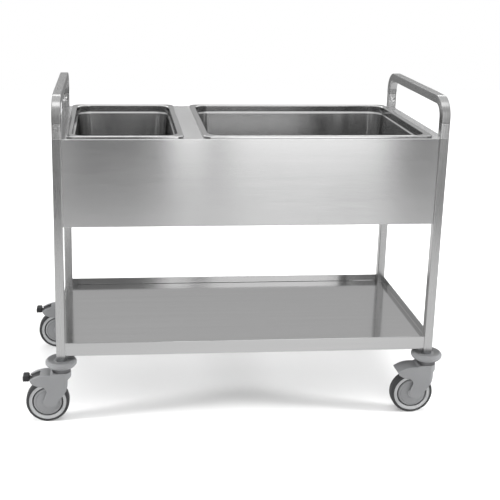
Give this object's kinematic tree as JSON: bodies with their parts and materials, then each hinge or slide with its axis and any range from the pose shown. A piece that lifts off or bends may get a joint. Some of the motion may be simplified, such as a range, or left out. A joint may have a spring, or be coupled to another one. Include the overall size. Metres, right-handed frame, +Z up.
{
  "type": "gastronorm pan trolley",
  "caption": "Stainless steel trolley with lift-out food pans in an aproned deck, a rimmed bottom shelf, bow handles at the ends and swivel castors.",
  "frame": {"origin": "on the floor, under the middle of the outline with the castors trailing to -X", "axes": "+X along the trolley from the small pan to the large pan, +Y to the back, +Z up"},
  "size_m": [1.234, 0.621, 0.952],
  "materials": {
    "brushed_stainless": "brushed along the sheet",
    "pan_stainless": "satin, deep drawn",
    "polished_fastener": "polished stainless",
    "zinc_steel": "zinc plated",
    "castor_grey": "moulded, fine grain",
    "bumper_grey": "moulded, fine grain",
    "rim_grey": "moulded",
    "cap_grey": "moulded",
    "tyre_rubber": "dull rubber",
    "pedal_black": "moulded black plastic"
  },
  "bodies": {
    "root": {"handle_bow_left": "brushed_stainless", "handle_bow_right": "brushed_stainless", "end_panel_left": "brushed_stainless", "end_panel_right": "brushed_stainless", "deck": "brushed_stainless", "apron_front": "brushed_stainless", "apron_back": "brushed_stainless", "cross_channel": "brushed_stainless", "bottom_shelf": "brushed_stainless", "shelf_stiffener": "brushed_stainless", "bow_sleeves_left": "zinc_steel", "bow_sleeves_right": "zinc_steel", "handle_bolts": "polished_fastener", "handle_washers": "polished_fastener", "post_front_left": "brushed_stainless", "castor_stem_front_left": "zinc_steel", "swivel_race_front_left": "zinc_steel", "bumper_front_left": "bumper_grey", "post_front_right": "brushed_stainless", "castor_stem_front_right": "zinc_steel", "swivel_race_front_right": "zinc_steel", "bumper_front_right": "bumper_grey", "post_rear_left": "brushed_stainless", "castor_stem_rear_left": "zinc_steel", "swivel_race_rear_left": "zinc_steel", "bumper_rear_left": "bumper_grey", "post_rear_right": "brushed_stainless", "castor_stem_rear_right": "zinc_steel", "swivel_race_rear_right": "zinc_steel", "bumper_rear_right": "bumper_grey"},
    "small_pan": {"small_pan": "pan_stainless"},
    "large_pan": {"large_pan": "pan_stainless"},
    "castor_front_left": {"fork_front_left": "castor_grey", "axle_front_left": "zinc_steel", "pedal_pin_front_left": "zinc_steel"},
    "wheel_front_left": {"wheel_core_front_left": "rim_grey", "tyre_front_left": "tyre_rubber", "hub_caps_front_left": "cap_grey"},
    "pedal_front_left": {"brake_pedal_front_left": "pedal_black", "brake_shoe_front_left": "pedal_black"},
    "castor_front_right": {"fork_front_right": "castor_grey", "axle_front_right": "zinc_steel"},
    "wheel_front_right": {"wheel_core_front_right": "rim_grey", "tyre_front_right": "tyre_rubber", "hub_caps_front_right": "cap_grey"},
    "castor_rear_left": {"fork_rear_left": "castor_grey", "axle_rear_left": "zinc_steel", "pedal_pin_rear_left": "zinc_steel"},
    "wheel_rear_left": {"wheel_core_rear_left": "rim_grey", "tyre_rear_left": "tyre_rubber", "hub_caps_rear_left": "cap_grey"},
    "pedal_rear_left": {"brake_pedal_rear_left": "pedal_black", "brake_shoe_rear_left": "pedal_black"},
    "castor_rear_right": {"fork_rear_right": "castor_grey", "axle_rear_right": "zinc_steel"},
    "wheel_rear_right": {"wheel_core_rear_right": "rim_grey", "tyre_rear_right": "tyre_rubber", "hub_caps_rear_right": "cap_grey"}
  },
  "joints": [
    {"name": "small_pan_lift", "type": "slide", "parent": "root", "child": "small_pan", "axis": [0, 0, 1], "range_m": [0, 0.26]},
    {"name": "large_pan_lift", "type": "slide", "parent": "root", "child": "large_pan", "axis": [0, 0, 1], "range_m": [0, 0.26]},
    {"name": "swivel_front_left", "type": "hinge", "parent": "root", "child": "castor_front_left", "pos_m": [-0.507, -0.2655, 0.14], "axis": [0, 0, 1], "continuous": true},
    {"name": "wheel_front_left", "type": "hinge", "parent": "castor_front_left", "child": "wheel_front_left", "pos_m": [-0.547, -0.2655, 0.0625], "axis": [0, 1, 0], "continuous": true},
    {"name": "pedal_front_left", "type": "hinge", "parent": "castor_front_left", "child": "pedal_front_left", "pos_m": [-0.561, -0.2655, 0.1395], "axis": [0, -1, 0], "range_deg": [0, 10]},
    {"name": "swivel_front_right", "type": "hinge", "parent": "root", "child": "castor_front_right", "pos_m": [0.572, -0.2655, 0.14], "axis": [0, 0, 1], "continuous": true},
    {"name": "wheel_front_right", "type": "hinge", "parent": "castor_front_right", "child": "wheel_front_right", "pos_m": [0.532, -0.2655, 0.0625], "axis": [0, 1, 0], "continuous": true},
    {"name": "swivel_rear_left", "type": "hinge", "parent": "root", "child": "castor_rear_left", "pos_m": [-0.507, 0.2655, 0.14], "axis": [0, 0, 1], "continuous": true},
    {"name": "wheel_rear_left", "type": "hinge", "parent": "castor_rear_left", "child": "wheel_rear_left", "pos_m": [-0.547, 0.2655, 0.0625], "axis": [0, 1, 0], "continuous": true},
    {"name": "pedal_rear_left", "type": "hinge", "parent": "castor_rear_left", "child": "pedal_rear_left", "pos_m": [-0.561, 0.2655, 0.1395], "axis": [0, -1, 0], "range_deg": [0, 10]},
    {"name": "swivel_rear_right", "type": "hinge", "parent": "root", "child": "castor_rear_right", "pos_m": [0.572, 0.2655, 0.14], "axis": [0, 0, 1], "continuous": true},
    {"name": "wheel_rear_right", "type": "hinge", "parent": "castor_rear_right", "child": "wheel_rear_right", "pos_m": [0.532, 0.2655, 0.0625], "axis": [0, 1, 0], "continuous": true}
  ]
}
